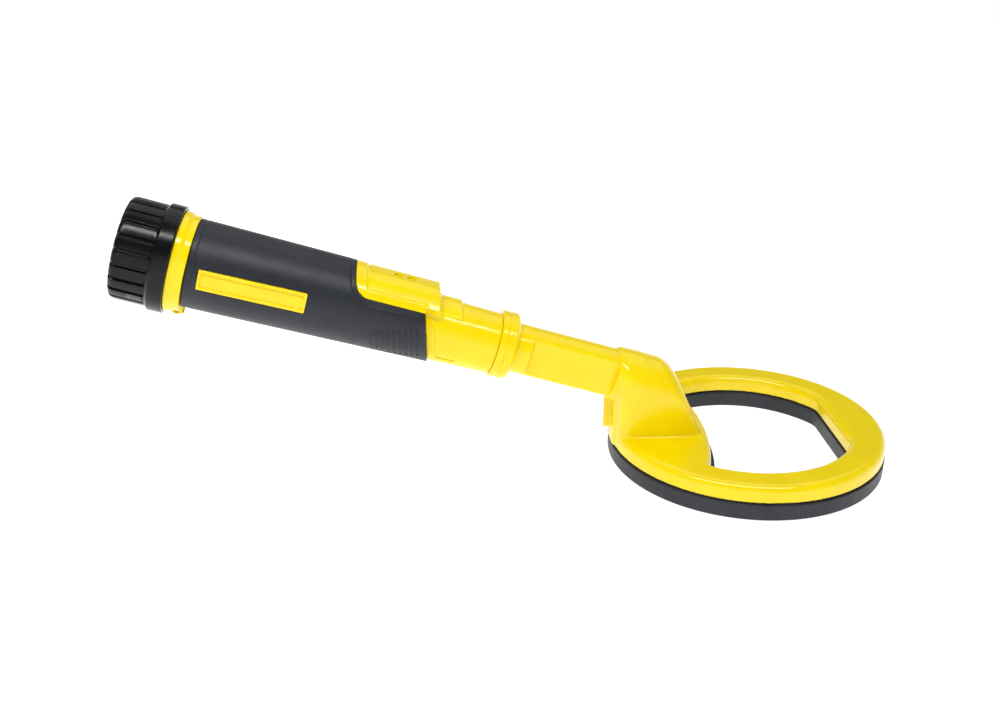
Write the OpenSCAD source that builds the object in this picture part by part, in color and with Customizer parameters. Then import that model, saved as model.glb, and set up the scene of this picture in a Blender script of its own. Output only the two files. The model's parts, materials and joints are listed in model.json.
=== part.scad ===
// Hand-held pulse metal detector with a lift-off ring coil.
// The coil lies flat on z = 0. The handle rises from it towards -X.
// Handle pieces are drawn in the handle's own frame: x' runs back along the
// handle's axis from the middle of the coil, z' points up and y' to the side.

/* [Coil] */
// Outer radius of the coil's dark base
coil_r = 75; // [70:1:82]
// Radius of the coil's opening
opening_r = 56.6; // [54:0.2:58]
// Distance from the coil's centre to the straight far edge of the opening
chord_x = 50; // [46:1:52]
// Distance from the coil's centre to the tail plate's edge
tail_x = 24; // [18:1:28]
// Radius of the tail plate's curved edge
tail_r = 150; // [120:5:200]
// How far the base's tail edge stands ahead of the cover's
tail_lip = 2.8; // [0:0.2:3.2]
// Height of the dark base
base_h = 10; // [9:0.5:12]
// Height of the whole coil
coil_h = 19; // [18:0.5:22]

/* [Neck] */
// Angle between the handle and the coil, in degrees
tilt = 16.7; // [14:0.1:19]
// Height of the handle's axis over the middle of the coil
axis_h = 26.85; // [26:0.05:28]
// Half the width of the neck tower
tower_w = 18.6; // [17:0.1:19]
// Slope of the tower's forward face, in degrees
tower_slope = 65; // [60:1:70]

/* [Arm] */
// Radius of the arm tube
arm_r = 13.2; // [12.8:0.1:13.2]
// Half the width across the arm's flat sides
arm_flat = 8.8; // [8.6:0.1:10]
// Radius of the plug's seat in the arm's rear end
plug_seat_r = 9.6; // [9:0.1:9.8]
// Radius of the arm's inner channel
arm_bore_r = 6.6; // [6:0.1:6.8]
// Outer radius of the locking collar
collar_r = 17.9; // [17:0.1:19]

/* [Handle] */
// Radius of the barrel at the collar
barrel_r = 16.2; // [16:0.1:17]
// Radius of the barrel's bore
barrel_bore_r = 13.8; // [13.6:0.1:13.8]
// Radius of the battery bore
battery_bore_r = 15; // [14.8:0.1:15]
// Radius of the grip at its front end
grip_r1 = 20.9; // [20.5:0.1:21.5]
// Radius of the grip at its rear end
grip_r2 = 22.7; // [22.3:0.1:23]
// Thickness of the rubber
grip_t = 2.2; // [1.8:0.1:2.4]
// Height of the control pod's top over the axis
pod_top = 22.6; // [22.4:0.1:23.5]
// Radius of a push button
button_r = 2.2; // [2:0.1:2.3]
// Travel of a push button
button_travel = 0.7; // [0.5:0.1:0.7]

/* [End cap] */
// Radius of the cap's smooth flange
flange_r = 27.4; // [26.8:0.1:28]
// Radius over the cap's flutes
cap_r = 26; // [25.5:0.1:26.4]
// Number of flutes
flutes = 22; // [16:1:24]

/* [Hidden] */

$fn = 96;

yellow = [1, 0.86, 0];
black = [0.1, 0.1, 0.11];
slate = [0.2, 0.21, 0.24];
brass = [0.8, 0.62, 0.28];
steel = [0.75, 0.76, 0.78];

wall = 2.4;
gap = 0.1;
fit = 0.05;

// Stations along the handle's axis, from the coil to the cap's rear face
tube_s0 = 53;
arm_flat_s = 127;
collar_s0 = 135.2;
flange_s0 = 137.2;
spigot_s0 = 139.2;
barrel_s0 = 144.7;
bulkhead_s0 = 153.2;
bulkhead_s1 = 157;
bore_step_s = 186;
cone_s0 = 168;
ring_s0 = 304.2;
cap_s0 = 312.1;
flute_s0 = 320.4;
neck_s1 = 331.5;
cap_s1 = 339;

// World positions, before the whole object is centred on its origin
grip_front_x = -174.9;
saddle_x = -155.5;
pod_front_x = -167;
pod_rear_x = -209;

// The grip's cone leans a little from the axis: height of its centre line
cone_z0 = 2.85;
cone_lean = 0.78;
cone_len = ring_s0 - cone_s0 - 0.25;
barrel_drop = 0.6;
saddle_r = 17.4;
window_z = 12.3;
window_corner = 6;
groove_count = 9;
groove_s = 183.5;
groove_pitch = 3;
groove_z = -11.5;

cap_edge = 3;
cap_bore_r = 19.5;
neck_r = 19.2;
neck_root_r = 18.5;
cap_floor_s = 333.9;

board_z = 8.1;
board_t = 1.6;
board_w = 18.4;
button_s = [196, 203];

// The object's length sets the shift that puts the origin at its middle
x_max = coil_r;
x_min = -((cap_s1 - cap_edge) * cos(tilt) + (cap_r - cap_edge) * sin(tilt) + cap_edge);
coil_x = -(x_max + x_min) / 2;

module at_coil() {
    translate([coil_x, 0, 0]) children();
}

module at_handle() {
    translate([coil_x, 0, axis_h]) rotate([0, -tilt, 180]) children();
}

// Solid of revolution about the handle's axis; outline points are [radius, station]
module turned(outline) {
    rotate([0, 90, 0]) rotate_extrude() polygon(outline);
}

module rod(s0, s1, r, y = 0, z = 0) {
    translate([s0, y, z]) rotate([0, 90, 0]) cylinder(h = s1 - s0, r = r);
}

module tube(s0, s1, r, bore) {
    difference() {
        rod(s0, s1, r);
        rod(s0 - 1, s1 + 1, bore);
    }
}

module torus(s, r, thick) {
    translate([s, 0, 0]) rotate([0, 90, 0]) rotate_extrude() translate([r, 0]) circle(thick, $fn = 32);
}

module box(s0, s1, w, z0, z1) {
    translate([s0, -w / 2, z0]) cube([s1 - s0, w, z1 - z0]);
}

// Slab of space on one side of an upright plane, in the handle's frame
module ahead_of(x) {
    rotate([0, tilt, 0]) translate([-x - 600, -100, -300]) cube([600, 200, 600]);
}

// Round wire or spring swept along a list of points
function unit(v) = v / norm(v);
function sweep_ring(p, t, r, n) =
    let (a = unit(cross(t, abs(t[1]) > 0.9 ? [0, 0, 1] : [0, 1, 0])), b = cross(t, a))
    [for (i = [0:n - 1]) p + r * (a * cos(360 * i / n) + b * sin(360 * i / n))];
module wire(path, r, n = 8) {
    last = len(path) - 1;
    rings = [for (i = [0:last])
        sweep_ring(path[i], unit(path[min(i + 1, last)] - path[max(i - 1, 0)]), r, n)];
    sides = [for (i = [0:last - 1], j = [0:n - 1])
        [i * n + j, i * n + (j + 1) % n, (i + 1) * n + (j + 1) % n, (i + 1) * n + j]];
    front = [[for (j = [n - 1:-1:0]) j]];
    back = [[for (j = [0:n - 1]) last * n + j]];
    polyhedron([for (ring = rings) each ring], concat(front, sides, back));
}

// ---------- coil ----------

// Plan of the coil's opening grown by e, with its tail edge moved forward by lip
module opening_plan(e, lip = 0) {
    difference() {
        intersection() {
            circle(opening_r + e);
            translate([chord_x + e - 200, -100]) square([200, 200]);
        }
        translate([lip - tail_x - tail_r, 0]) circle(tail_r - e, $fn = 180);
    }
}

// Plan of the coil drawn in by e all round
module coil_plan(e, lip = 0) {
    difference() {
        circle(coil_r - e, $fn = 180);
        opening_plan(e, lip);
    }
}

module rounded_disc(r, h, edge) {
    rotate_extrude($fn = 180) {
        square([r - edge, h]);
        square([r, h - edge]);
        translate([r - edge, h - edge]) circle(edge, $fn = 32);
    }
}

// Side outline of the neck tower: roof along the handle, sloping front, round nose
nose_r = 11;
roof_r = tower_w + 1;
roof = 14.5;
tower_front_x = -27.8;
roof_n = [sin(tilt), cos(tilt)];
front_n = [sin(tower_slope), cos(tower_slope)];
roof_d = roof_n[1] * axis_h + roof + 1 - nose_r;
front_d = front_n[0] * tower_front_x + front_n[1] * coil_h - nose_r;
corner_det = roof_n[0] * front_n[1] - roof_n[1] * front_n[0];
nose = [(roof_d * front_n[1] - front_d * roof_n[1]) / corner_det,
    (roof_n[0] * front_d - front_n[0] * roof_d) / corner_det];
tower_rear_x = -90;
roof_rear_z = (roof_d + nose_r - roof_n[0] * tower_rear_x) / roof_n[1];

module tower_side() {
    turn = (tower_slope - tilt) / 8;
    polygon(concat([[tower_rear_x, base_h + gap], [tower_rear_x, roof_rear_z]],
        [for (i = [0:8]) nose + nose_r * [sin(tilt + i * turn), cos(tilt + i * turn)]],
        [[tower_front_x, coil_h], [tower_front_x, base_h + gap]]));
}

module tower_body() {
    difference() {
        intersection() {
            translate([0, tower_w, 0]) rotate([90, 0, 0]) linear_extrude(2 * tower_w) tower_side();
            cylinder(h = 120, r = coil_r - 0.5, $fn = 180);
        }
        // rounds the roof across its width
        translate([0, 0, axis_h]) rotate([0, -tilt, 180]) translate([0, 0, roof - roof_r])
            difference() {
                box(-10, 140, 60, roof_r - 13.5, 60);
                rod(-11, 141, roof_r);
            }
    }
}

module coil_cover() {
    skin_h = coil_h - base_h - gap;
    color(yellow) at_coil() difference() {
        union() {
            translate([0, 0, base_h + gap]) difference() {
                rounded_disc(coil_r - 0.5, skin_h, 1.2);
                translate([0, 0, -1]) linear_extrude(skin_h + 2) opening_plan(0);
            }
            tower_body();
            translate([0, 0, axis_h]) rotate([0, -tilt, 180]) intersection() {
                turned([[0, 62], [roof, 62], [roof, 78], [arm_r + 0.3, 83.5], [0, 83.5]]);
                box(60, 90, 40, -40, 40);
            }
            // boss down the tower's rear
            translate([-coil_r - 1, -9.4, base_h + gap]) cube([10, 18.8, 30]);
            // gusset under the arm
            translate([-coil_r - 4.5, -2, 18]) cube([9, 4, 19]);
        }
        // socket for the arm tube
        translate([0, 0, axis_h]) rotate([0, -tilt, 180]) intersection() {
            rod(tube_s0 - gap, 100, arm_r + fit);
            box(tube_s0 - 1, 101, 2 * (arm_flat + fit), -30, 30);
        }
        // hollow over the winding, and the lead's way down the tower
        translate([0, 0, base_h]) linear_extrude(coil_h - base_h - wall) coil_plan(wall + 0.5);
        translate([-50, 0, base_h]) cylinder(h = 32, r = 4);
    }
}

module coil_base() {
    color(slate) at_coil() difference() {
        linear_extrude(base_h) coil_plan(0, tail_lip);
        translate([0, 0, wall]) linear_extrude(base_h) coil_plan(wall + 0.5, tail_lip);
    }
}

former_r0 = 60.9;
former_r1 = 71.6;
former_z0 = 4.2;
former_z1 = 13;
module coil_former() {
    color("ivory") at_coil() rotate_extrude($fn = 180) difference() {
        translate([former_r0, former_z0]) square([former_r1 - former_r0, former_z1 - former_z0]);
        translate([former_r0 + 1.2, former_z0 + 1.2])
            square([former_r1 - former_r0 - 2.4, former_z1 - former_z0]);
    }
}

module coil_winding() {
    color("sienna") at_coil() rotate_extrude($fn = 180)
        translate([former_r0 + 1.3, former_z0 + 1.3])
        square([former_r1 - former_r0 - 2.6, 6]);
}

module coil_resin() {
    color("dimgray") at_coil() translate([0, 0, wall]) linear_extrude(former_z0 - wall - gap)
        coil_plan(wall + 0.6);
}

// Lead from the plug down the arm, then down the tower to the winding
lead_r = 1.5;
module coil_lead() {
    path = [[128, 0, 0], [110, 0, 0], [90, 0, 0], [72, 0, 0], [62, 0, -0.4], [56, 0, -1.4],
        [52.6, 0, -3.4], [50.8, 0, -6.4], [49.2, 0, -10.4], [47.4, 0, -16], [46, 0, -20.6],
        [46, 0, -24], [48.8, 0, -26.8], [54, 0, -29], [59.6, 0, -30.7]];
    color(black) at_handle() wire(path, lead_r);
}

// ---------- arm ----------

module arm_tube() {
    color(yellow) at_handle() difference() {
        union() {
            rod(arm_flat_s, flange_s0 + 0.2, arm_r);
            intersection() {
                rod(tube_s0, arm_flat_s + 0.1, arm_r);
                box(tube_s0 - 1, arm_flat_s + 1, 2 * arm_flat, -30, 30);
            }
            rod(flange_s0 + 0.2, spigot_s0 - gap, 14.4);
        }
        rod(tube_s0 - 1, spigot_s0, arm_bore_r);
        rod(128 - gap, spigot_s0, plug_seat_r);
    }
}

module arm_plug() {
    color(black) at_handle() difference() {
        turned([[0, 128], [plug_seat_r - fit, 128], [plug_seat_r - fit, spigot_s0 - gap], [10, spigot_s0 - gap],
            [10, 142], [8.3, 142], [8.3, 144.2], [10, 144.2], [10, 147], [8.3, 147], [8.3, 149.2],
            [10, 149.2], [10, 152.4], [9.4, 153], [0, 153]]);
        for (a = [45:90:315])
            rod(146, 154, 0.85, 3.4 * cos(a), 3.4 * sin(a));
    }
}

module plug_pins() {
    color(brass) at_handle() for (a = [45:90:315])
        rod(146.1, 158.5, 0.8, 3.4 * cos(a), 3.4 * sin(a));
}

module plug_seals() {
    color(black) at_handle() for (s = [143.1, 148.1])
        torus(s, 9.2, 0.85);
}

module collar_washer() {
    color("white") at_handle() tube(flange_s0 - 0.6, flange_s0 + 0.1, 14.4, arm_r + fit);
}

module locking_collar() {
    color(yellow) at_handle() difference() {
        turned([[0, collar_s0], [collar_r - 1.9, collar_s0], [collar_r, collar_s0 + 1.6],
            [collar_r, 140.4], [collar_r - 0.35, 140.7], [collar_r - 0.35, 141.6],
            [collar_r, 141.9], [collar_r, 143.7], [collar_r - 0.7, 144.5], [0, 144.5]]);
        rod(collar_s0 - 1, collar_s0 + 10, arm_r + gap);
        rod(flange_s0 - 0.7, 146, 14.75);
    }
}

// ---------- handle ----------

module cone(shrink) {
    translate([cone_s0, 0, cone_z0]) rotate([0, 90 + cone_lean, 0])
        cylinder(h = cone_len, r1 = grip_r1 - shrink, r2 = grip_r2 - shrink);
}

// Side outline of the grip's cut-out round the pod, drawn in by shrink
module pod_window(shrink) {
    translate([0, 60, 0]) rotate([90, 0, 0]) linear_extrude(120) offset(window_corner - shrink)
        offset(-window_corner) difference() {
            rotate(-tilt) translate([0, -100]) square([-pod_rear_x, 300]);
            translate([0, window_z - 200]) square([400, 200]);
        }
}

module pod_block() {
    intersection() {
        union() {
            box(150, 240, 23, 8, pod_top - 2.2);
            box(150, 240, 18.6, 8, pod_top);
            for (y = [-9.3, 9.3])
                rod(150, 240, 2.2, y, pod_top - 2.2);
            box(150, 240, 34, window_z + gap, 16.2);
        }
        grip_outline();
        pod_window(0.2);
        difference() {
            ahead_of(pod_rear_x + 1);
            ahead_of(pod_front_x);
        }
    }
}

// Keeps the pod inside the grip's own outline
module grip_outline() {
    union() {
        cone(0.2);
        rod(150, 200, grip_r1 - 0.6, 0, cone_z0 - 0.4);
    }
}

module handle_shell() {
    color(yellow) at_handle() difference() {
        union() {
            // spigot with its thread
            turned([[0, spigot_s0], [14.3, spigot_s0], [14.3, barrel_s0], [0, barrel_s0]]);
            for (s = [140.2:1.4:144])
                torus(s, 14.1, 0.5);
            // barrel
            intersection() {
                translate([barrel_s0, 0, -barrel_drop]) rotate([0, 90, 0])
                    cylinder(h = 190 - barrel_s0, r1 = barrel_r, r2 = barrel_r + 1);
                ahead_of(grip_front_x + gap);
            }
            // raised saddle ahead of the pod
            intersection() {
                rod(150, 186, saddle_r);
                box(150, 186, 25, 9, 30);
                difference() {
                    ahead_of(-200);
                    ahead_of(saddle_x);
                }
            }
            // core under the rubber
            difference() {
                cone(grip_t);
                ahead_of(grip_front_x + 0.5);
            }
            pod_block();
            // rear neck with the cap's thread
            rod(300, cap_s0, 19.6);
            rod(cap_s0 - 0.1, neck_s1, neck_root_r);
            for (s = [315.5:3:328])
                torus(s, neck_root_r, neck_r - neck_root_r);
        }
        // bores
        rod(spigot_s0 - 1, bulkhead_s0, 10.1);
        rod(bulkhead_s0 - 1, bulkhead_s1 + 1, 6.05);
        rod(bulkhead_s1, bore_step_s, barrel_bore_r);
        rod(bore_step_s - 0.1, neck_s1 + 1, battery_bore_r);
        // hollow of the pod
        box(188, 216, 14, 10, pod_top - 2.2);
        for (s = button_s)
            translate([s, 0, 15]) cylinder(h = 12, r = button_r + 0.3);
        // torch seat in the pod's forward face
        rod(150, 192, 1.9, 0, 19.9);
        // shallow panels on both flanks
        for (y = [-1, 1])
            intersection() {
                translate([0, y * 26.3, 0]) box(150, 186, 20, -11.4, 8.5);
                difference() {
                    ahead_of(-170.6);
                    ahead_of(-160.7);
                }
            }
    }
}

module rubber_grip() {
    color(slate) at_handle() difference() {
        cone(0);
        cone(grip_t - 0.05);
        ahead_of(grip_front_x);
        intersection() {
            pod_window(0);
            box(100, 260, 80, 0, 60);
        }
        badge_window(0.1);
        // finger grooves on both flanks
        for (i = [0:groove_count - 1], y = [-1, 1])
            translate([groove_s + i * groove_pitch, y * 25.2, groove_z]) rotate([0, tilt, 0])
                translate([0, -5, 0]) cube([1.4, 10, 17.5]);
    }
}

// Window for the badge on the grip's side
module badge_window(grow) {
    translate([271.3, 15, 2.3]) rotate([0, 1.5, 0]) translate([-26.6 - grow, 0, -5.2 - grow])
        cube([53.2 + 2 * grow, 20, 10.4 + 2 * grow]);
}

module badge_plate() {
    color(yellow) at_handle() intersection() {
        badge_window(0);
        difference() {
            cone(-0.5);
            cone(grip_t - 0.1);
            difference() {
                translate([271.3, 15, 2.3]) rotate([0, 1.5, 0]) translate([-25.2, 0, -3.8])
                    cube([50.4, 20, 7.6]);
                cone(0.4);
            }
        }
    }
}

module lanyard_ring() {
    lug_s = 306.4;
    lug_z = -24;
    hole_z = -25.5;
    color(yellow) at_handle() difference() {
        union() {
            turned([[0, ring_s0 + gap], [23.9, ring_s0 + gap], [24.2, 307.4], [23.6, 307.8],
                [23.6, 308.3], [25.4, 308.8], [25.8, cap_s0 - gap], [0, cap_s0 - gap]]);
            difference() {
                translate([lug_s, 3, lug_z]) rotate([90, 0, 0]) cylinder(h = 6, r = 3.6);
                cone(-0.3);
            }
        }
        rod(ring_s0 - 1, cap_s0 + 1, 19.65);
        translate([lug_s, 10, hole_z]) rotate([90, 0, 0]) cylinder(h = 20, r = 1.2);
    }
}

// ---------- controls ----------

module button(s) {
    color(yellow) at_handle() translate([s, 0, 0]) {
        translate([0, 0, 16.6]) cylinder(h = pod_top - 16.9, r = button_r);
        translate([0, 0, pod_top - 3.6]) cylinder(h = 1.2, r = 3.1);
    }
}

module front_button() button(button_s[0]);
module rear_button() button(button_s[1]);

module button_seal() {
    color(black) at_handle() {
        box(189, 210, 13.6, 14.8, 15.4);
        for (s = button_s)
            translate([s, 0, 15.2]) cylinder(h = 0.6, r = 2.4);
    }
}

module tact_switches() {
    top = board_z + board_t;
    color(black) at_handle() for (s = button_s)
        translate([s, 0, top + 0.02]) union() {
            translate([-3, -3, 0]) cube([6, 6, 3.4]);
            cylinder(h = 4.8, r = 1.7);
        }
}

module circuit_board() {
    color("darkgreen") at_handle() difference() {
        box(171, 252, board_w, board_z, board_z + board_t);
        for (s = [175, 248], y = [-7.2, 7.2])
            translate([s, y, board_z - 1]) cylinder(h = 4, r = 1.1);
    }
}

module board_chips() {
    top = board_z + board_t + 0.02;
    color("dimgray") at_handle() {
        box(214, 222, 8, top, top + 1.4);
        box(226, 232, 6, top, top + 1.2);
        box(234, 237, 12, top, top + 2);
        for (y = [-5, 5])
            translate([243, y, top]) cylinder(h = 1.6, r = 2.2);
    }
}

module buzzer() {
    color(black) at_handle() translate([238, 0, board_z - 4.5]) difference() {
        cylinder(h = 4.4, r = 6);
        translate([0, 0, -1]) cylinder(h = 2, r = 1.2);
    }
}

motor_z = -3;
module vibration_motor() {
    color(steel) at_handle() {
        rod(213, 226, 5, 0, motor_z);
        rod(206, 213.1, 0.6, 0, motor_z);
    }
}

module motor_weight() {
    color(brass) at_handle() difference() {
        rod(207, 210.5, 4.4, 0, motor_z);
        rod(206, 212, 0.65, 0, motor_z);
        box(206, 212, 20, motor_z + 1.2, motor_z + 10);
    }
}

module torch_led() {
    color("white") at_handle() rod(185.4, 190, 1.5, 0, 19.9);
}

module torch_lens() {
    color("white") at_handle() union() {
        translate([182, 0, 19.9]) sphere(1.85);
        rod(182, 185.3, 1.85, 0, 19.9);
    }
}

// ---------- inside ----------

module socket_connector() {
    color(black) at_handle() difference() {
        union() {
            rod(153.3, 158, 6);
            rod(bulkhead_s1 + 0.02, 160, 9);
            rod(159, 166, 6);
        }
        for (a = [45:90:315])
            rod(153, 162, 0.9, 3.4 * cos(a), 3.4 * sin(a));
    }
}

module socket_leads() {
    color("firebrick") at_handle() for (y = [-3, 3])
        wire([[166.1, y, 2], [168, y, 2.2], [170, y, 3.4], [171.5, y, 5], [173.5, y, 6.2],
            [176, y, 7.2]], 0.7);
}

module chassis() {
    color("gainsboro") at_handle() difference() {
        union() {
            rod(168.2, 170.4, 13.4);
            rod(253, 255.2, 14.6);
            intersection() {
                rod(168.2, 255.2, 13.4);
                union() {
                    for (y = [-8.3, 8.3])
                        translate([0, y, 0]) box(168.2, 255.2, 3, 4.6, board_z - 0.02);
                    difference() {
                        box(213.5, 224, 19.6, -11, 6);
                        box(213, 225, 11.4, motor_z, 9);
                        rod(213, 225, 5.05, 0, motor_z);
                    }
                }
            }
        }
        rod(160, 172, 7);
        rod(250, 258, 4);
        for (s = [175, 248], y = [-7.2, 7.2])
            translate([s, y, 0]) cylinder(h = 12, r = 0.85);
    }
}

module chassis_screws() {
    color(steel) at_handle() for (s = [175, 248], y = [-7.2, 7.2])
        translate([s, y, 5]) union() {
            cylinder(h = board_z + board_t - 4.9, r = 0.8);
            translate([0, 0, board_z + board_t - 4.98]) cylinder(h = 0.9, r = 1.7);
        }
}

module battery_sleeve() {
    color("gray") at_handle() difference() {
        rod(255.3, 330, 10.9);
        rod(257, 331, 9.5);
        rod(255, 258, 2);
    }
}

module battery_cell() {
    color("steelblue") at_handle() {
        rod(263, 328, 9.2);
        rod(261.8, 263.1, 3);
    }
}

function coil_spring(s0, s1, r, turns, z = 0) =
    [for (i = [0:turns * 12]) [s0 + (s1 - s0) * i / (turns * 12), r * cos(30 * i), z + r * sin(30 * i)]];

module battery_spring() {
    color(steel) at_handle() wire(coil_spring(257.7, 261.2, 4, 3), 0.45, 6);
}

// ---------- end cap ----------

module end_cap() {
    inner = cap_r - 1.1;
    flute_w = 2.4;
    color(black) at_handle() difference() {
        union() {
            turned([[0, cap_s0], [flange_r - 0.9, cap_s0], [flange_r, cap_s0 + 0.9],
                [flange_r, flute_s0 - 1.4], [flange_r - 1.2, flute_s0], [0, flute_s0]]);
            rotate([0, 90, 0]) rotate_extrude() {
                translate([0, flute_s0 - 1]) square([cap_r - cap_edge, cap_s1 - flute_s0 + 1]);
                translate([0, flute_s0 - 1]) square([cap_r, cap_s1 - flute_s0 + 1 - cap_edge]);
                translate([cap_r - cap_edge, cap_s1 - cap_edge]) circle(cap_edge, $fn = 48);
            }
        }
        // flutes
        for (i = [0:flutes - 1])
            rotate([(i + 0.5) * 360 / flutes, 0, 0]) translate([flute_s0 + 0.6, -flute_w / 2, inner])
                cube([30, flute_w, 5]);
        rod(cap_s0 - 1, cap_floor_s, cap_bore_r);
        rod(cap_floor_s - 1, cap_floor_s + 3, 7);
    }
}

module cap_seal() {
    color("firebrick") at_handle() tube(neck_s1 + gap, cap_floor_s - gap, 18.9, 15.4);
}

module cap_contact() {
    color(brass) at_handle() rod(cap_floor_s + 2.2, cap_floor_s + 2.9, 6.6);
}

module cap_spring() {
    color(steel) at_handle() wire(coil_spring(328.7, cap_floor_s + 1.6, 5, 3), 0.5, 6);
}

coil_cover();
coil_base();
coil_former();
coil_winding();
coil_resin();
coil_lead();
arm_tube();
arm_plug();
plug_pins();
plug_seals();
collar_washer();
locking_collar();
handle_shell();
rubber_grip();
badge_plate();
lanyard_ring();
front_button();
rear_button();
button_seal();
tact_switches();
circuit_board();
board_chips();
buzzer();
vibration_motor();
motor_weight();
torch_led();
torch_lens();
socket_connector();
socket_leads();
chassis();
chassis_screws();
battery_sleeve();
battery_cell();
battery_spring();
end_cap();
cap_seal();
cap_spring();
cap_contact();
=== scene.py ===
# Looks of the hand-held metal detector: skins for the CAD frame, materials, light and camera.
# Lengths are in millimetres until a mesh is made. Handle pieces use the handle's own frame: s runs
# back along its axis from the middle of the coil, y points to the viewer's side and z up. Coil
# pieces use the coil's frame: x forward and z up from the middle of the coil's underside.
import json
import math

import bpy
import numpy as np
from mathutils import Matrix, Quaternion, Vector


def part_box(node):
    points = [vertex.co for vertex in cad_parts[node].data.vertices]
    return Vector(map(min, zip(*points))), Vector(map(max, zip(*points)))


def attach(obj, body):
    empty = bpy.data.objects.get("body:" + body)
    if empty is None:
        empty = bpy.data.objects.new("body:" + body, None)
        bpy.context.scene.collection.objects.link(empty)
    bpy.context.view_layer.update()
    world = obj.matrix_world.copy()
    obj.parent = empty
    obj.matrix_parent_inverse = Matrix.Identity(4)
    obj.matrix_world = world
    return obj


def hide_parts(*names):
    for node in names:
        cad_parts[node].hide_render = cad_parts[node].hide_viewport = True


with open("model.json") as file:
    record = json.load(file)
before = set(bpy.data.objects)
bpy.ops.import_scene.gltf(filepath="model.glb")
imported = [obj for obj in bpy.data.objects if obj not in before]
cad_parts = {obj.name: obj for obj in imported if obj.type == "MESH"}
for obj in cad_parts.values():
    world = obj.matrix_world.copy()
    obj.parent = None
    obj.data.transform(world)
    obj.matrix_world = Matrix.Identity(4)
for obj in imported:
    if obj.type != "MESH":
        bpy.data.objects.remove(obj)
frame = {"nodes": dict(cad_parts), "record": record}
bpy.context.view_layer.update()
record = frame["record"]

MM = 0.001

# ---------- frames, worked out from the CAD ----------

joints = {j["name"]: j for j in record["behaviour"]["joints"]}
EX = np.array(joints["cap_turn"]["axis"], float)
EX /= np.linalg.norm(EX)
EY = np.array([0.0, -1.0, 0.0])
EZ = np.cross(EX, EY)
TILT = math.atan2(EX[2], -EX[0])
COS, SIN = math.cos(TILT), math.sin(TILT)
CAP_PIVOT = 330.0
HANDLE_O = np.array(joints["cap_turn"]["pos_m"]) - EX * CAP_PIVOT * MM

base_lo, base_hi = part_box("coil_base")
COIL_R = (base_hi[1] - base_lo[1]) / 2 / MM
COIL_O = np.array([base_hi[0] - COIL_R * MM, 0.0, 0.0])
AXIS_H = HANDLE_O[2] / MM
BASE_H = base_hi[2] / MM
COIL_H = 19.0

HANDLE = (HANDLE_O, EX, EY, EZ)
COIL = (COIL_O, np.array([1.0, 0, 0]), np.array([0, 1.0, 0]), np.array([0, 0, 1.0]))


def to_world(place, p):
    o, a, b, c = place
    return o + (p[:, :1] * a + p[:, 1:2] * b + p[:, 2:3] * c) * MM


def to_world_dir(place, n):
    o, a, b, c = place
    return n[:, :1] * a + n[:, 1:2] * b + n[:, 2:3] * c


# ---------- distance fields ----------

def smin(a, b, k):
    h = np.clip(0.5 + 0.5 * (b - a) / k, 0, 1)
    return b + (a - b) * h - k * h * (1 - h)


def smax(a, b, k):
    return -smin(-a, -b, k)


def rmax(a, b, r):
    """Intersection whose edge is a round of radius r."""
    return np.minimum(np.maximum(a, b), -r) + np.hypot(np.maximum(a + r, 0), np.maximum(b + r, 0))


def rmin(a, b, r):
    """Union whose inner corner is a round of radius r."""
    return -rmax(-a, -b, r)


def box_d(x, y, z, cx, cy, cz, hx, hy, hz, r):
    """Box with rounded edges."""
    qx, qy, qz = np.abs(x - cx) - hx + r, np.abs(y - cy) - hy + r, np.abs(z - cz) - hz + r
    out = np.sqrt(np.maximum(qx, 0) ** 2 + np.maximum(qy, 0) ** 2 + np.maximum(qz, 0) ** 2)
    return out + np.minimum(np.maximum(qx, np.maximum(qy, qz)), 0) - r


def rod_d(s, y, z, s0, s1, r, cy=0.0, cz=0.0, edge=0.1):
    return rmax(np.hypot(y - cy, z - cz) - r, np.maximum(s0 - s, s - s1), edge)


def step(x, a, b):
    """0 before a, 1 after b, smooth between."""
    t = np.clip((x - a) / (b - a), 0, 1)
    return t * t * (3 - 2 * t)


def band(x, a, b, soft):
    return step(x, a - soft / 2, a + soft / 2) * (1 - step(x, b - soft / 2, b + soft / 2))


# ---------- mesh builders ----------

def make_object(name, verts, faces, normals=None, sharp=None):
    mesh = bpy.data.meshes.new(name)
    mesh.from_pydata(verts, [], faces)
    mesh.update()
    mesh.polygons.foreach_set("use_smooth", [True] * len(mesh.polygons))
    if sharp is not None:
        mesh.set_sharp_from_angle(angle=math.radians(sharp))
    if normals is not None:
        mesh.normals_split_custom_set_from_vertices(normals)
    obj = bpy.data.objects.new(name, mesh)
    bpy.context.scene.collection.objects.link(obj)
    return obj


def gradient(f, p, eps):
    g = np.empty_like(p)
    for k in range(3):
        d = np.zeros(3)
        d[k] = eps
        g[:, k] = (f(*(p + d).T) - f(*(p - d).T)) / (2 * eps)
    return g


# Cells along a block's side, what a field may be off by, and moves that settle points on the skin
BLOCK = 6
FIELD_SLACK = 0.8
SETTLE_STEPS = 4


def spread_blocks(a):
    """Each block's value repeated over its cells."""
    return a.repeat(BLOCK, 0).repeat(BLOCK, 1).repeat(BLOCK, 2)


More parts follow.
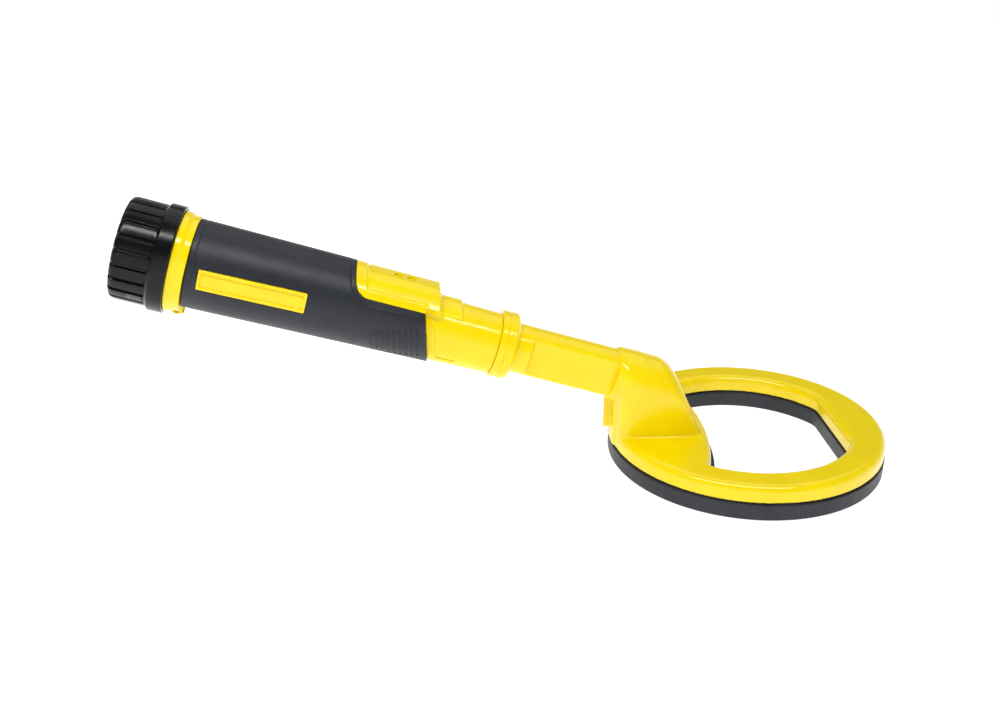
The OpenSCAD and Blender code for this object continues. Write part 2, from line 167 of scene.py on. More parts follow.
def net_mesh(name, place, f, lo, hi, h):
    """Closed skin of the field f, by surface nets drawn onto its zero, with the field's normals.

    Only blocks of cells that may hold the surface are sampled finely.
    """
    lo = np.array(lo, float)
    blocks = np.ceil((np.array(hi) - lo) / (h * BLOCK)).astype(int) + 1
    n = blocks * BLOCK
    centres = [lo[k] + (np.arange(blocks[k]) + 0.5) * BLOCK * h for k in range(3)]
    cs, cy, cz = np.meshgrid(*centres, indexing="ij")
    coarse = f(cs.ravel(), cy.ravel(), cz.ravel()).reshape(blocks)
    near = np.abs(coarse) < BLOCK * h * 1.05 + FIELD_SLACK
    values = spread_blocks(coarse).astype(np.float64)
    mask = spread_blocks(near)
    where = np.argwhere(mask)
    p = lo + where * h
    values[mask] = f(*p.T)
    inside = values < 0

    cells = tuple(n - 1)
    count = np.zeros(cells, np.uint8)
    corners = [(i, j, k) for i in (0, 1) for j in (0, 1) for k in (0, 1)]
    for i, j, k in corners:
        count += inside[i:i + cells[0], j:j + cells[1], k:k + cells[2]]
    cell = np.argwhere((count > 0) & (count < 8))
    index = np.full(cells, -1, np.int64)
    index[tuple(cell.T)] = np.arange(len(cell))

    total = np.zeros((len(cell), 3))
    hits = np.zeros(len(cell))
    for axis in range(3):
        for u in (0, 1):
            for v in (0, 1):
                a = np.insert(np.array([u, v]), axis, 0)
                b = np.insert(np.array([u, v]), axis, 1)
                fa = values[tuple((cell + a).T)]
                fb = values[tuple((cell + b).T)]
                cross = (fa < 0) != (fb < 0)
                t = np.where(cross, fa / np.where(cross, fa - fb, 1), 0)
                point = cell + a + t[:, None] * (b - a)
                total[cross] += point[cross]
                hits += cross
    p = lo + total / hits[:, None] * h

    quads = []
    for axis in range(3):
        u, v = [k for k in range(3) if k != axis]
        near_side = [slice(1, cells[k]) for k in range(3)]
        far_side = [slice(1, cells[k]) for k in range(3)]
        near_side[axis] = slice(0, cells[axis])
        far_side[axis] = slice(1, cells[axis] + 1)
        a, b = inside[tuple(near_side)], inside[tuple(far_side)]
        edge = np.argwhere(a != b)
        start = np.ones(3, int)
        start[axis] = 0
        out = a[tuple(edge.T)]
        edge = edge + start
        du, dv = np.zeros(3, int), np.zeros(3, int)
        du[u], dv[v] = 1, 1
        ring = [edge - du - dv, edge - dv, edge, edge - du]
        ids = np.stack([index[tuple(q.T)] for q in ring], 1)
        flip = ~out if axis != 1 else out
        ids[flip] = ids[flip][:, ::-1]
        quads.append(ids)
    faces = np.concatenate(quads)
    faces = faces[(faces >= 0).all(1)]

    for _ in range(SETTLE_STEPS):
        g = gradient(f, p, 0.02)
        length2 = np.maximum((g * g).sum(1), 0.25)
        move = (f(*p.T) / length2)[:, None] * g
        size = np.linalg.norm(move, axis=1, keepdims=True)
        p = p - move * np.minimum(1, 0.5 * h / np.maximum(size, 1e-9))
    g = gradient(f, p, 0.06)
    normals = g / np.maximum(np.linalg.norm(g, axis=1, keepdims=True), 1e-9)
    return make_object(name, to_world(place, p).tolist(), faces.tolist(),
                       to_world_dir(place, normals).tolist())


def rounded(points, r, n=4):
    """Outline with its corners rounded. points are (x, y), or (x, y, own radius)."""
    out = []
    last = len(points) - 1
    for i, pt in enumerate(points):
        p = np.array(pt[:2], float)
        own = pt[2] if len(pt) > 2 else r
        if i in (0, last) or own == 0:
            out.append(p)
            continue
        a = np.array(points[i - 1][:2], float) - p
        b = np.array(points[i + 1][:2], float) - p
        la, lb = np.linalg.norm(a), np.linalg.norm(b)
        a, b = a / la, b / lb
        half = math.acos(np.clip(a @ b, -1, 1)) / 2
        cut = min(own / math.tan(half), 0.45 * la, 0.45 * lb)
        for t in np.linspace(0, 1, n + 1):
            out.append(p + a * cut * (1 - t) ** 2 + b * cut * t ** 2)
    return np.array(out)


def turned_mesh(name, outline, angles, shape=None, sharp=35):
    """Closed solid of revolution about the handle's axis; outline is a loop of (r, s)."""
    loop = np.array(outline)
    n, m = len(loop), len(angles)
    r = np.repeat(loop[:, :1], m, 1)
    s = np.repeat(loop[:, 1:2], m, 1)
    a = np.repeat(angles[None, :], n, 0)
    if shape is not None:
        r = shape(r, s, a)
    p = np.stack([s, r * np.sin(a), r * np.cos(a)], 2).reshape(-1, 3)
    faces = []
    for i in range(n):
        here, after = i * m, (i + 1) % n * m
        for j in range(m):
            k = (j + 1) % m
            faces.append([here + j, here + k, after + k, after + j])
    return make_object(name, to_world(HANDLE, p).tolist(), faces, sharp=sharp)


def even_angles(n):
    return np.arange(n) * 2 * math.pi / n


# ---------- coil ----------

OPENING_R = 56.6
CHORD_X = 50.0
TAIL_X = 24.0
TAIL_R = 150.0
TAIL_LIP = 2.8
TOWER_W = 17.6
TOWER_DRAFT = 0.055
ROOF_R = TOWER_W + 1
ROOF = 14.5
TOWER_SLOPE = math.radians(65)
TOWER_FRONT_X = -27.8
NOSE_R = 5.5
TOWER_REAR_R = 4.5
SLEEVE_R = 14.5
SLEEVE_S0, SLEEVE_S1 = 66, 79
COVER_INSET = 0.5
COVER_EDGE = 4.2
COVER_TAIL_LIP = 0.7
BASE_INSET = 0.05
SEAM = 1.1
TONGUE_INSET = 1.6
# Boxes as centre, half sizes and edge radius
BOSS = (-70, 0, 24, 5.2, 9.3, 16, 2.2)
GUSSET = (-COIL_R, 0, 27.5, 4.5, 2, 9.5, 0.5)


def opening_d(x, y, grow=0.0, lip=0.0):
    """Below zero inside the coil's opening: a circle cut by a chord in front and the tail behind."""
    d = rmax(np.hypot(x, y) - OPENING_R, x - CHORD_X, 1.5)
    return rmax(d, TAIL_R - np.hypot(x + TAIL_X + TAIL_R - lip, y), 1.5) - grow


def coil_to_handle(x, z):
    """Station and height in the handle's frame of a point in the coil's frame."""
    return -x * COS + (z - AXIS_H) * SIN, x * SIN + (z - AXIS_H) * COS


def cover_d(x, y, z):
    # ring and tail plate
    rim = np.hypot(x, y) - (COIL_R - COVER_INSET)
    flat = rmax(rim, -opening_d(x, y, 0, COVER_TAIL_LIP), 0.3)
    plate = rmax(flat, z - COIL_H, COVER_EDGE)
    # neck tower
    s, up = coil_to_handle(x, z)
    front = math.sin(TOWER_SLOPE) * (x - TOWER_FRONT_X) + math.cos(TOWER_SLOPE) * (z - COIL_H)
    over = up - ROOF + ROOF_R
    roof = np.hypot(y, np.maximum(over, 0)) - ROOF_R
    side = np.abs(y) - TOWER_W - TOWER_DRAFT * np.clip(54 - z, 0, 40)
    tower = rmax(rmax(roof, front, NOSE_R), side, 2.2)
    tower = rmax(tower, rim, TOWER_REAR_R)
    body = rmin(plate, tower, 1.0)
    body = np.maximum(body, rim)
    # sleeve that holds the arm tube
    flare = SLEEVE_R - 0.1 * np.clip(s - 72, 0, 8)
    sleeve = rmax(np.hypot(y, up) - flare, s - SLEEVE_S1, 0.5)
    sleeve = np.maximum(sleeve, SLEEVE_S0 - s)
    body = rmin(body, sleeve, 0.8)
    # boss and web on the tower's back
    boss = box_d(x, y, z, *BOSS)
    body = rmin(body, np.maximum(boss, BASE_H - z), 0.8)
    gusset = box_d(x, y, z, *GUSSET)
    body = rmin(body, gusset, 0.6)
    return smax(body, BASE_H + 0.1 - z, 0.3)


def base_d(x, y, z):
    rim = np.hypot(x, y) - (COIL_R - BASE_INSET)
    flat = rmax(rim, -opening_d(x, y, -0.5, TAIL_LIP), 0.3)
    wall = rmax(flat, z - BASE_H + SEAM, 0.6)
    tongue = rmax(flat + TONGUE_INSET, z - BASE_H, 0.2)
    return rmax(np.minimum(wall, tongue), -z, 1.2)


# ---------- arm ----------

ARM_R = 13.2
ARM_FLAT = 8.8
ARM_BORE = 6.6
ARM_S0, ARM_S1 = 53, 138
FLANGE_S1 = 139.0
ARM_FLANGE_R = 14.35


def arm_d(s, y, z):
    body = np.hypot(y, z) - ARM_R
    flats = rmax(body, np.abs(y) - ARM_FLAT, 0.7)
    body = flats + (body - flats) * step(s, 125.8, 127)
    body = rmax(body, s - ARM_S1, 0.2)
    flange = rod_d(s, y, z, ARM_S1 - 0.5, FLANGE_S1, ARM_FLANGE_R, edge=0.3)
    solid = np.maximum(np.minimum(body, flange), ARM_S0 - s)
    return np.maximum(solid, ARM_BORE - np.hypot(y, z))


# ---------- handle ----------

CONE_S0, CONE_LEN = 168.0, 136.2
CONE_R0, CONE_R1 = 20.9, 22.7
CONE_Z0, CONE_LEAN = 2.85, math.tan(math.radians(0.78))
GRIP_T = 2.2
GRIP_FRONT_X = -174.9
POD_REAR_X = -209.0
POD_FRONT_X = -167.0
SADDLE_X = -155.5
WINDOW_Z = 12.3
WINDOW_CORNER = 6.0
POD_TOP = 22.6
BADGE_S, BADGE_Z, BADGE_TURN = 271.3, 2.3, math.radians(1.5)
BUTTONS = {"front_button": 196.0, "rear_button": 203.0}
BUTTON_R = 2.2
RING_S0 = 304.2
CAP_S0, CAP_S1 = 312.1, 339.0
CAP_FLOOR = 333.9
NECK_S1 = 331.5
NECK_R, NECK_LAND_R, NECK_S0 = 18.5, 19.6, 300
CAP_PITCH, CAP_RIDGE, CAP_THREAD = 3, 0.6, (313.8, 329.3)
SPIGOT_S0, SPIGOT_R = 139.2, 13.95
SPIGOT_PITCH, SPIGOT_RIDGE = 1.4, 0.35
BARREL_S0, BARREL_R, BARREL_DROP = 144.98, 16.2, 0.6
PANEL_X, PANEL_Z, PANEL_DEPTH = (-170.6, -160.7), (-11.4, 8.5), 0.7
SADDLE_R, SADDLE_W, SADDLE_Z = 17.4, 12.5, 11.6
LEDGE_Z = 16.4
POD_W, POD_FOOT_Z = 15.3, 14.8
POD_BACK_X = -202.4
TORCH_S1, TORCH_R, TORCH_Z = 192, 1.95, 19.9
# Bores as start, end and radius; the pocket as centre, half sizes and edge radius
BORES = [(138, 153.2, 10.1), (150, 158, 6.1), (157, 186.1, 13.8), (186, 340, 15)]
POCKET = (202, 0, 15.2, 14, 7, 5.2, 0.2)
# Badge rectangles as half length, half height and corner radius
BADGE_RECESS = (26.75, 5.35, 0.6)
BADGE_EDGE = (26.55, 5.15, 0.5)
BADGE_INNER = (25.1, 3.75, 0.4)
LIP_W, LIP_DEPTH = 2.3, 0.55
SLOT_S0, SLOT_PITCH = 189.6, 6.3
GROOVES, GROOVE_PITCH = 9, 2.874
GROOVE_S, GROOVE_Z = 183.5, -11.5
LUG_S, LUG_Z, LUG_R = 306.4, -24.0, 3.6
LUG_HOLE_Z, LUG_HOLE_R = -25.5, 1.2


def world_x(s, z):
    return -s * COS + z * SIN


def world_z(s, z):
    return s * SIN + z * COS


def cone_d(s, y, z, shrink=0.0):
    t = (s - CONE_S0) / CONE_LEN
    centre = CONE_Z0 - CONE_LEAN * (s - CONE_S0)
    return np.hypot(y, z - centre) - (CONE_R0 + (CONE_R1 - CONE_R0) * t) + shrink


def window_d(s, z):
    """Below zero inside the grip's cut-out round the pod."""
    return rmax(POD_REAR_X - world_x(s, z), WINDOW_Z - z, WINDOW_CORNER)


def badge_uv(s, z):
    c, n = math.cos(BADGE_TURN), math.sin(BADGE_TURN)
    ds, dz = s - BADGE_S, z - BADGE_Z
    return ds * c - dz * n, ds * n + dz * c


def badge_d(s, z, half_u, half_v, r):
    u, v = badge_uv(s, z)
    qu, qv = np.abs(u) - half_u + r, np.abs(v) - half_v + r
    return np.hypot(np.maximum(qu, 0), np.maximum(qv, 0)) + np.minimum(np.maximum(qu, qv), 0) - r


def shell_d(s, y, z):
    x = world_x(s, z)
    r = np.hypot(y, z)
    # spigot with its thread
    ridge = SPIGOT_RIDGE * np.abs(np.sin((s - 139.5) * math.pi / SPIGOT_PITCH))
    body = np.maximum(r - SPIGOT_R - ridge, SPIGOT_S0 - s)
    # barrel
    barrel = np.hypot(y, z + BARREL_DROP) - (BARREL_R + 0.9 * (s - 144.7) / 39.3)
    panel = band(x, *PANEL_X, 0.5) * band(z, *PANEL_Z, 0.5)
    barrel = barrel + PANEL_DEPTH * panel
    barrel = rmax(barrel, BARREL_S0 - s, 0.6)
    body = np.minimum(body, barrel)
    # saddle
    saddle = rmax(r - SADDLE_R, np.abs(y) - SADDLE_W, 1.0)
    saddle = rmax(saddle, x - SADDLE_X, 0.8)
    saddle = rmax(saddle, SADDLE_Z - z, 0.4)
    body = rmin(body, saddle, 0.5)
    body = np.maximum(body, GRIP_FRONT_X + 0.1 - x)
    # core under the rubber, and the rim that fills the rubber's cut-out
    core = np.maximum(cone_d(s, y, z, GRIP_T + 0.1), x - GRIP_FRONT_X + 0.2)
    core = np.maximum(core, s - RING_S0 + 0.4)
    body = np.minimum(body, core)
    rim = rmax(cone_d(s, y, z, 0.12), window_d(s, z) + 0.15, 0.35)
    strip = np.maximum(rim, x - POD_BACK_X + 0.2)
    strip = rmax(strip, x - POD_BACK_X + 1, 0.5)
    ledge = rmax(rim, z - LEDGE_Z, 0.5)
    rim = np.minimum(strip, ledge)
    rim = rmax(rim, x - GRIP_FRONT_X - 0.2, 0.4)
    body = np.minimum(body, rim)
    # pod
    slope = (np.abs(y) - POD_W) * 0.70 + (z - LEDGE_Z) * 0.714
    pod = rmax(z - POD_TOP, slope, 3.0)
    pod = rmax(pod, cone_d(s, y, z, 0.1), 1.0)
    pod = rmax(pod, x - POD_FRONT_X, 0.7)
    pod = rmax(pod, POD_BACK_X - x, 0.6)
    floor = np.maximum(cone_d(s, y, z, 0.75), np.maximum(x - POD_BACK_X - 0.4, POD_REAR_X + 0.5 - x))
    floor = np.maximum(floor, 12 - z)
    skirt = np.maximum(10 - z, 0.8 * (np.abs(y) - 16.7) + 0.6 * (POD_FOOT_Z - z))
    pod = np.maximum(pod, np.where(x > GRIP_FRONT_X + 0.1, skirt, POD_FOOT_Z - z))
    pod = np.minimum(pod, floor)
    body = rmin(body, pod, 0.4 + 1.2 * step(x, GRIP_FRONT_X, GRIP_FRONT_X + 1))
    # rear neck with the cap's thread
    land = np.maximum(r - NECK_LAND_R, np.maximum(NECK_S0 - s, s - CAP_S0))
    body = np.minimum(body, land)
    wave = np.clip(np.cos((s - 315.5) * 2 * math.pi / CAP_PITCH), 0, 1)
    neck = rmax(r - NECK_R - CAP_RIDGE * wave * band(s, *CAP_THREAD, 1), s - NECK_S1, 0.6)
    body = np.minimum(body, np.maximum(neck, 311 - s))
    # buttons' wells and the torch's seat
    for sb in BUTTONS.values():
        well = rmax(np.hypot(s - sb, y) - BUTTON_R - 0.25, 15 - z, 0.2)
        body = smax(body, -well, 0.3)
    body = np.maximum(body, -rod_d(s, y, z, 150, TORCH_S1, TORCH_R, 0, TORCH_Z))
    # bores, then the pocket under the buttons
    for s0, s1, bore in BORES:
        body = np.maximum(body, -rod_d(s, y, z, s0, s1, bore))
    return np.maximum(body, -box_d(s, y, z, *POCKET))


def grip_d(s, y, z):
    x = world_x(s, z)
    outer = cone_d(s, y, z)
    hole = window_d(s, z)
    # sloped band and its step round the cut-out
    lip = LIP_DEPTH * np.clip(hole / LIP_W, 0, 1) * (1 - step(hole, LIP_W, LIP_W + 0.45))
    lip = lip * step(np.abs(y), 4, 10) * step(GRIP_FRONT_X - x, 2.5, 3.2)
    # four short slots under it
    along = (s - SLOT_S0) / SLOT_PITCH
    slot = band(hole, 5.4, 6.2, 0.5) * band(along % 1.0, 0.03, 0.5, 0.06)
    slot = slot * band(along, 0, 3.6, 0.05) * step(np.abs(y), 5, 6)
    # finger grooves, upright in the world
    u = (world_x(GROOVE_S, GROOVE_Z) - 0.2 - x) / GROOVE_PITCH
    up = world_z(s, z) - world_z(GROOVE_S, GROOVE_Z)
    comb = 0.5 - 0.5 * np.cos(2 * math.pi * (u + 0.5))
    groove = step(comb, 0.35, 0.85) * band(u, -0.5, GROOVES - 0.5, 0.2) * band(up, 0, 17.5, 1.2)
    groove = groove * step(np.abs(y), 8, 10)
    # fine line near the rear end
    line = band(s, 300.6, 301.4, 0.5)
    outer = outer + lip + 0.35 * slot + 0.5 * groove + 0.25 * line
    solid = rmax(outer, x - GRIP_FRONT_X, 0.5)
    solid = rmax(solid, s - RING_S0 + 0.05, 0.6)
    solid = rmax(solid, -hole, 0.4)
    badge = np.maximum(badge_d(s, z, *BADGE_RECESS), -y)
    solid = rmax(solid, -badge, 0.35)
    return smax(solid, -cone_d(s, y, z, GRIP_T), 0.2)


def badge_plate_d(s, y, z):
    edge = badge_d(s, z, *BADGE_EDGE)
    inner = badge_d(s, z, *BADGE_INNER)
    height = 0.5 - 0.95 * (1 - step(inner, -0.25, 0.1))
    solid = rmax(edge, cone_d(s, y, z, 0) - height, 0.3)
    return np.maximum(solid, np.maximum(-cone_d(s, y, z, GRIP_T), -y))


def ring_d(s, y, z):
    r = np.hypot(y, z)
    body = r - 24.3 - 0.1 * (s - RING_S0) / 3 - 1.05 * step(s, 307.0, 309.4)
    ends = np.maximum(RING_S0 + 0.1 - s, s - CAP_S0 + 0.1)
    body = smax(np.maximum(body, ends), ends, 0.3)
    eye = np.hypot((s - LUG_S) / 1.3, z - LUG_Z - 0.5)
    lug = rmax(eye - LUG_R, np.abs(y) - 3, 0.5)
    lug = np.maximum(lug, -cone_d(s, y, z, -0.3))
    body = rmin(body, lug, 0.7)
    body = smax(body, LUG_HOLE_R - np.hypot(s - LUG_S, z - LUG_HOLE_Z), 0.3)
    return np.maximum(body, NECK_LAND_R + 0.1 - r)


def button_d(s0):
    def field(s, y, z):
        stem = rmax(np.hypot(s - s0, y) - BUTTON_R + 0.1, z - POD_TOP + 0.9, 0.5)
        dish = np.sqrt((s - s0) ** 2 + y ** 2 + (z - POD_TOP - 4.75) ** 2) - 5.8
        stem = smax(stem, -dish, 0.2)
        foot = rod_d(z, s - s0, y, POD_TOP - 3.6, POD_TOP - 2.4, 3.0)
        return np.minimum(np.maximum(stem, 16.6 - z), foot)
    return field


# ---------- build ----------

made = {}


def keep(obj, node, body, slot):
    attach(obj, body)
    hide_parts(node)
    made[node] = (obj, slot)


keep(net_mesh("coil_cover_skin", COIL, cover_d, (-84, -76, 9), (76, 76, 66), 0.75),
     "coil_cover", "coil_arm", "yellow_plastic")
keep(net_mesh("coil_base_skin", COIL, base_d, (-76, -76, -1), (76, 76, 11), 0.75),
     "coil_base", "coil_arm", "coil_base_plastic")
keep(net_mesh("arm_tube_skin", HANDLE, arm_d, (52, -15, -15), (140, 15, 15), 0.6),
     "arm_tube", "coil_arm", "yellow_plastic")
keep(net_mesh("handle_shell_skin", HANDLE, shell_d, (138, -23, -23), (337, 23, 26), 0.55),
     "handle_shell", "handle", "yellow_plastic")
keep(net_mesh("rubber_grip_skin", HANDLE, grip_d, (173, -24, -24), (306, 24, 26), 0.5),
     "rubber_grip", "handle", "grip_rubber")
keep(net_mesh("badge_plate_skin", HANDLE, badge_plate_d, (243, 0, -6), (300, 25, 10), 0.3),
     "badge_plate", "handle", "yellow_plastic")
keep(net_mesh("lanyard_ring_skin", HANDLE, ring_d, (303, -27, -32), (313, 27, 27), 0.4),
     "lanyard_ring", "handle", "yellow_plastic")
for node, body in (("front_button", "front_key"), ("rear_button", "rear_key")):
    s0 = BUTTONS[node]
    keep(net_mesh(node + "_skin", HANDLE, button_d(s0), (s0 - 4, -4, 16), (s0 + 4, 4, 23), 0.2),
         node, body, "yellow_plastic")

# Collar: an outline of (r, s, own corner radius), with two shallow grooves round its outside.
# A groove is its start, end, depth, slope length and the corner radii at its edges and its floor.
COLLAR_R, COLLAR_BORE, COLLAR_LIP_R = 17.9, 14.75, 13.35
COLLAR_S1 = 144.94
COLLAR_GROOVES = [(138.3, 138.9, 0.15, 0.2, 0.1, 0.1), (140.5, 141.7, 0.45, 0.25, 0.2, 0.15)]
collar = [(COLLAR_LIP_R, 136.0), (COLLAR_LIP_R, 135.3, 0.2), (15.9, 135.2, 0.5), (COLLAR_R, 136.9, 0.5)]
for s0, s1, depth, lead, edge_r, floor_r in COLLAR_GROOVES:
    collar += [(COLLAR_R, s0, edge_r), (COLLAR_R - depth, s0 + lead, floor_r),
               (COLLAR_R - depth, s1 - lead, floor_r), (COLLAR_R, s1, edge_r)]
collar += [(COLLAR_R, 144.2, 0.4), (17.2, COLLAR_S1, 0.2), (COLLAR_BORE, COLLAR_S1, 0.2),
           (COLLAR_BORE, 136.6, 0.1), (COLLAR_LIP_R, 136.5, 0.1), (COLLAR_LIP_R, 136.1)]
keep(turned_mesh("locking_collar_skin", rounded(collar, 0.2, 3), even_angles(160)),
     "locking_collar", "lock_collar", "yellow_plastic")

CAP_FLUTES = 22
FLUTE_PITCH = 360 / CAP_FLUTES  # degrees
FLUTE_DEPTH = 1.45
FLUTE_S0 = 320.9
FLANGE_R, CAP_R, CAP_BORE = 27.4, 26.0, 19.5


def cap_shape(r, s, a):
    """Radius of the cap with its flutes cut."""
    pitch = math.radians(FLUTE_PITCH)
    off = np.abs((a / pitch) % 1.0 - 0.5) * pitch * CAP_R
    cut = 1 - step(off, 0.55, 1.35)
    along = step(s, FLUTE_S0, FLUTE_S0 + 0.8)
    outer = step(r, CAP_R - 4, CAP_R - 2.6)
    return r - outer * along * FLUTE_DEPTH * cut


flange = [(CAP_BORE, 313.4), (CAP_BORE + 0.1, CAP_S0 + 0.1, 0.2), (20.0, CAP_S0, 0.2),
          (FLANGE_R, CAP_S0, 0.9), (FLANGE_R, 319.4, 0.8), (CAP_R + 0.1, 320.7, 0.3)]
side = [(CAP_R, 321.2, 0.1), (CAP_R, 321.5, 0), (CAP_R, 321.8, 0), (CAP_R, 325), (CAP_R, 330, 0)]
end = [(CAP_R, CAP_S1, 3.8), (18, CAP_S1, 0), (17.6, CAP_S1 - 0.25, 0.2), (10, CAP_S1 - 0.3),
       (0.2, CAP_S1 - 0.3)]
inside = [(0.2, CAP_FLOOR), (6, CAP_FLOOR), (CAP_BORE, CAP_FLOOR, 0.3), (CAP_BORE, 328),
          (CAP_BORE, 320)]
cap_outline = flange + side + end + inside
# Angles in degrees, close together where a flute is cut
steps = np.concatenate([np.linspace(-FLUTE_PITCH / 2, -4, 4)[:-1], np.arange(-3.8, 4, 0.4),
                        np.linspace(4, FLUTE_PITCH / 2, 4)[:-1]])
cap_angles = np.radians(np.concatenate([FLUTE_PITCH * (i + 0.5) + steps for i in range(CAP_FLUTES)]))
keep(turned_mesh("end_cap_skin", rounded(cap_outline, 0.3, 6), cap_angles, cap_shape, sharp=60),
     "end_cap", "screw_cap", "black_plastic")


# ---------- materials ----------

def finish(name, dark, light, rough, bump, grain, metallic=0.0, sheen=0.0, transmission=0.0,
           specular=0.5):
    """Procedural finish: mottled colour, uneven gloss and fine grain."""
    mat = bpy.data.materials.new(name)
    mat.use_nodes = True
    nodes, links = mat.node_tree.nodes, mat.node_tree.links
    bsdf = nodes["Principled BSDF"]
    bsdf.inputs["Metallic"].default_value = metallic
    bsdf.inputs["Sheen Weight"].default_value = sheen
    bsdf.inputs["Sheen Roughness"].default_value = 0.4
    bsdf.inputs["Transmission Weight"].default_value = transmission
    bsdf.inputs["Specular IOR Level"].default_value = specular
    coords = nodes.new("ShaderNodeTexCoord")

    def noise(scale, detail, roughness=0.5):
        n = nodes.new("ShaderNodeTexNoise")
        n.inputs["Scale"].default_value = scale
        n.inputs["Detail"].default_value = detail
        n.inputs["Roughness"].default_value = roughness
        links.new(coords.outputs["Object"], n.inputs["Vector"])
        return n

    def ramp(source, low, high, a, b):
        m = nodes.new("ShaderNodeMapRange")
        m.inputs["From Min"].default_value = low
        m.inputs["From Max"].default_value = high
        m.inputs["To Min"].default_value = a
        m.inputs["To Max"].default_value = b
        links.new(source, m.inputs["Value"])
        return m.outputs["Result"]

    mottle = noise(60, 4)
    mix = nodes.new("ShaderNodeMix")
    mix.data_type = "RGBA"
    mix.inputs["A"].default_value = (*dark, 1)
    mix.inputs["B"].default_value = (*light, 1)
    links.new(ramp(mottle.outputs["Fac"], 0.35, 0.65, 0, 1), mix.inputs["Factor"])
    links.new(mix.outputs["Result"], bsdf.inputs["Base Color"])

    smudge = noise(140, 6, 0.65)
    links.new(ramp(smudge.outputs["Fac"], 0.3, 0.7, rough[0], rough[1]), bsdf.inputs["Roughness"])

    fine = noise(grain, 3, 0.6)
    relief = nodes.new("ShaderNodeBump")
    relief.inputs["Strength"].default_value = bump
    relief.inputs["Distance"].default_value = 0.0001
    links.new(fine.outputs["Fac"], relief.inputs["Height"])
    links.new(relief.outputs["Normal"], bsdf.inputs["Normal"])
    return mat


FINISH = {
    "yellow_plastic": dict(
        dark=(0.93, 0.70, 0.0), light=(0.97, 0.75, 0.0),
        rough=(0.12, 0.2), bump=0.06, grain=2500, specular=0.45),
    "black_plastic": dict(
        dark=(0.0025, 0.0027, 0.004), light=(0.0045, 0.0048, 0.0065),
        rough=(0.16, 0.26), bump=0.12, grain=3000, specular=0.26),
    "coil_base_plastic": dict(
        dark=(0.018, 0.020, 0.028), light=(0.025, 0.028, 0.037),
        rough=(0.4, 0.52), bump=0.3, grain=2500, specular=0.35),
    "grip_rubber": dict(
        dark=(0.004, 0.006, 0.013), light=(0.007, 0.010, 0.019),
        rough=(0.42, 0.52), bump=0.3, grain=3500, sheen=0.05, specular=0.5),
    "seal_rubber": dict(
        dark=(0.01, 0.01, 0.01), light=(0.02, 0.02, 0.02),
        rough=(0.4, 0.5), bump=0.2, grain=3000),
    "seal_silicone": dict(
        dark=(0.45, 0.05, 0.03), light=(0.55, 0.08, 0.05),
        rough=(0.4, 0.5), bump=0.1, grain=2500),
    "washer_nylon": dict(
        dark=(0.75, 0.74, 0.7), light=(0.85, 0.84, 0.8),
        rough=(0.35, 0.45), bump=0.1, grain=2500),
    "former_plastic": dict(
        dark=(0.7, 0.66, 0.55), light=(0.78, 0.74, 0.62),
        rough=(0.4, 0.5), bump=0.15, grain=2500),
    "copper": dict(
        dark=(0.6, 0.22, 0.1), light=(0.75, 0.32, 0.16),
        rough=(0.25, 0.4), bump=0.5, grain=4000, metallic=1.0),
    "resin": dict(
        dark=(0.05, 0.05, 0.055), light=(0.08, 0.08, 0.085),
        rough=(0.15, 0.3), bump=0.1, grain=800),
    "brass_contact": dict(
        dark=(0.7, 0.5, 0.18), light=(0.8, 0.6, 0.26),
        rough=(0.2, 0.35), bump=0.1, grain=3000, metallic=1.0),
    "steel": dict(
        dark=(0.5, 0.5, 0.52), light=(0.62, 0.62, 0.64),
        rough=(0.2, 0.35), bump=0.1, grain=3000, metallic=1.0),
    "board_green": dict(
        dark=(0.01, 0.12, 0.04), light=(0.02, 0.18, 0.06),
        rough=(0.3, 0.4), bump=0.2, grain=2000),
    "chip_black": dict(
        dark=(0.02, 0.02, 0.02), light=(0.03, 0.03, 0.03),
        rough=(0.4, 0.5), bump=0.2, grain=4000),
    "chassis_plastic": dict(
        dark=(0.55, 0.55, 0.56), light=(0.62, 0.62, 0.63),
        rough=(0.4, 0.5), bump=0.15, grain=2500),
    "cell_wrap": dict(
        dark=(0.04, 0.12, 0.3), light=(0.06, 0.16, 0.38),
        rough=(0.2, 0.3), bump=0.05, grain=1500),
    "wire_red": dict(
        dark=(0.45, 0.02, 0.02), light=(0.55, 0.03, 0.03),
        rough=(0.3, 0.4), bump=0.1, grain=2500),
    "led_clear": dict(
        dark=(0.85, 0.87, 0.88), light=(0.93, 0.94, 0.95),
        rough=(0.04, 0.1), bump=0.05, grain=900, transmission=0.7),
}
materials = {name: finish(name, **values) for name, values in FINISH.items()}

for obj, slot in made.values():
    obj.data.materials.append(materials[slot])

for part in record["subparts"]:
    if part["node"] not in made:
        obj = frame["nodes"][part["node"]]
        obj.data.materials.clear()
        obj.data.materials.append(materials[part["material_slot"]])

# ---------- floor, light and camera, in metres ----------

FLOOR_HALF = 30
floor_mat = bpy.data.materials.new("floor_paper")
floor_mat.use_nodes = True
floor_bsdf = floor_mat.node_tree.nodes["Principled BSDF"]
floor_bsdf.inputs["Base Color"].default_value = (0.6, 0.6, 0.6, 1)
floor_bsdf.inputs["Roughness"].default_value = 0.9
floor_bsdf.inputs["Emission Color"].default_value = (1, 1, 1, 1)
floor_bsdf.inputs["Emission Strength"].default_value = 0.87
floor_mesh = bpy.data.meshes.new("floor")
corners = [(sx * FLOOR_HALF, sy * FLOOR_HALF, 0) for sx, sy in ((-1, -1), (1, -1), (1, 1), (-1, 1))]
floor_mesh.from_pydata(corners, [], [(0, 1, 2, 3)])
floor = bpy.data.objects.new("floor", floor_mesh)
floor.data.materials.append(floor_mat)
bpy.context.scene.collection.objects.link(floor)


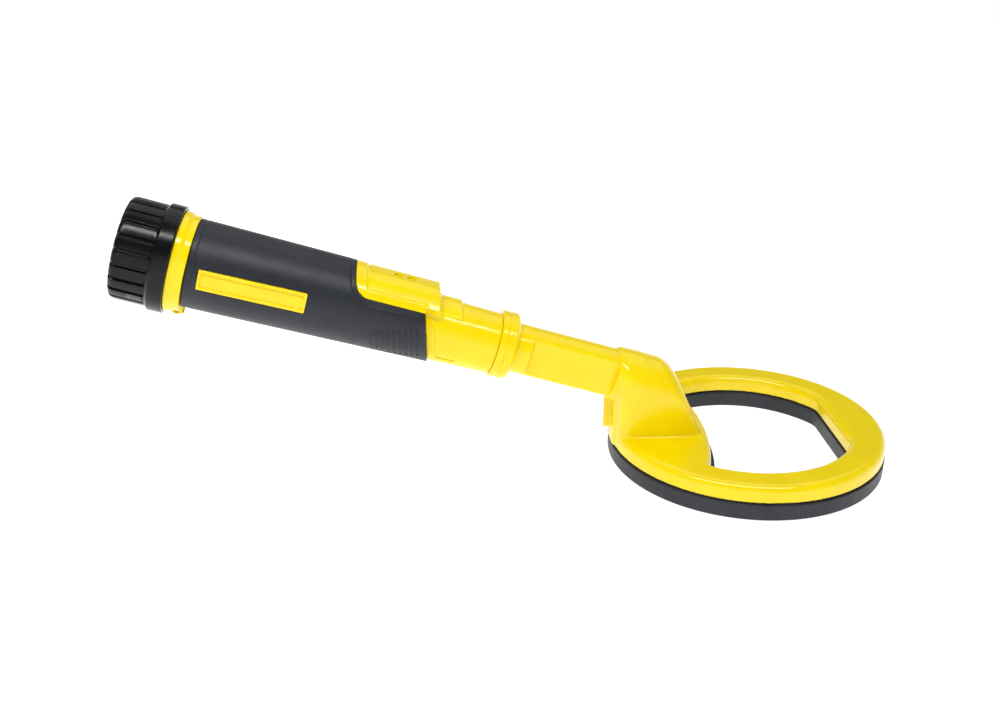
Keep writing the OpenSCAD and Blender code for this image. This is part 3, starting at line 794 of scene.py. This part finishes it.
def area_light(name, at, aim, size, power):
    data = bpy.data.lights.new(name, "AREA")
    data.shape = "RECTANGLE"
    data.size, data.size_y = size
    data.energy = power
    light = bpy.data.objects.new(name, data)
    light.location = at
    light.rotation_mode = "QUATERNION"
    light.rotation_quaternion = (Vector(aim) - Vector(at)).to_track_quat("-Z", "Y")
    bpy.context.scene.collection.objects.link(light)


area_light("softbox_top", (-0.1, -0.42, 1.05), (-0.05, 0, 0.06), (1.3, 0.07), 9)
area_light("softbox_back", (0.1, 0.7, 1.3), (0, 0, 0.05), (2.2, 1.2), 7)
area_light("softbox_front", (-0.4, -1.5, 0.5), (0, 0, 0.05), (1.4, 0.5), 1.2)

# World: bright towards the horizon, dimmer overhead
world = bpy.data.worlds.new("studio")
world.use_nodes = True
sky, sky_links = world.node_tree.nodes, world.node_tree.links
sky["Background"].inputs["Color"].default_value = (1, 1, 1, 1)
sky_coord = sky.new("ShaderNodeTexCoord")
sky_split = sky.new("ShaderNodeSeparateXYZ")
sky_range = sky.new("ShaderNodeMapRange")
sky_range.inputs["From Max"].default_value = 0.4
sky_range.inputs["To Min"].default_value = 1.0
sky_range.inputs["To Max"].default_value = 0.12
sky_links.new(sky_coord.outputs["Generated"], sky_split.inputs["Vector"])
sky_links.new(sky_split.outputs["Z"], sky_range.inputs["Value"])
sky_links.new(sky_range.outputs["Result"], sky["Background"].inputs["Strength"])
bpy.context.scene.world = world
bpy.context.scene.view_settings.view_transform = "Standard"

# Camera at the photo's viewing angle, placed from the coil
CAMERA_AT = Vector(COIL_O) + Vector((-0.1748, -0.5434, 0.2976))
CAMERA_AIM = Vector(COIL_O) + Vector((-0.1360, 0.0, 0.0599))
CAMERA_ROLL = math.radians(0.40)
camera_data = bpy.data.cameras.new("camera")
camera_data.lens = 40.4
camera_data.sensor_width = 36
camera = bpy.data.objects.new("camera", camera_data)
camera.location = CAMERA_AT
camera.rotation_mode = "QUATERNION"
look = (CAMERA_AIM - CAMERA_AT).to_track_quat("-Z", "Y")
camera.rotation_quaternion = look @ Quaternion((0, 0, 1), CAMERA_ROLL)
bpy.context.scene.collection.objects.link(camera)
bpy.context.scene.camera = camera

bpy.context.view_layer.update()
